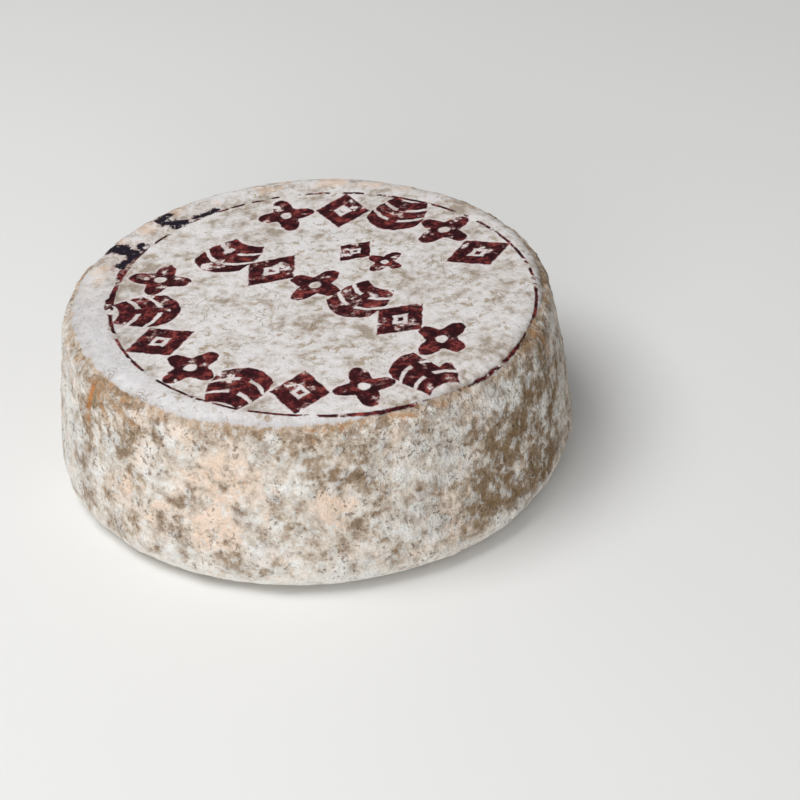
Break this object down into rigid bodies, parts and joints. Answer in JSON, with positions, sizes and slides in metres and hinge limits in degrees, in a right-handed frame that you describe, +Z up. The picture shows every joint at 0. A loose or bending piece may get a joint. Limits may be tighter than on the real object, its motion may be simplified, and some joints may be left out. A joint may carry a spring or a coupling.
{
  "type": "cheese wheel",
  "caption": "Whole uncut wheel of pressed farmhouse cheese: a low drum with rounded edges and a mottled, mould-ripened natural rind, standing on its flat base.",
  "frame": {"origin": "middle of the flat base, on the surface that the wheel stands on", "axes": "+Z up along the wheel's own axis; X and Y lie in the base, and -Y faces the viewer of the ring stamp on the top"},
  "size_m": [0.1903, 0.1897, 0.066],
  "materials": {
    "rind": "matte"
  },
  "bodies": {
    "root": {"cheese_wheel": "rind"}
  },
  "joints": []
}
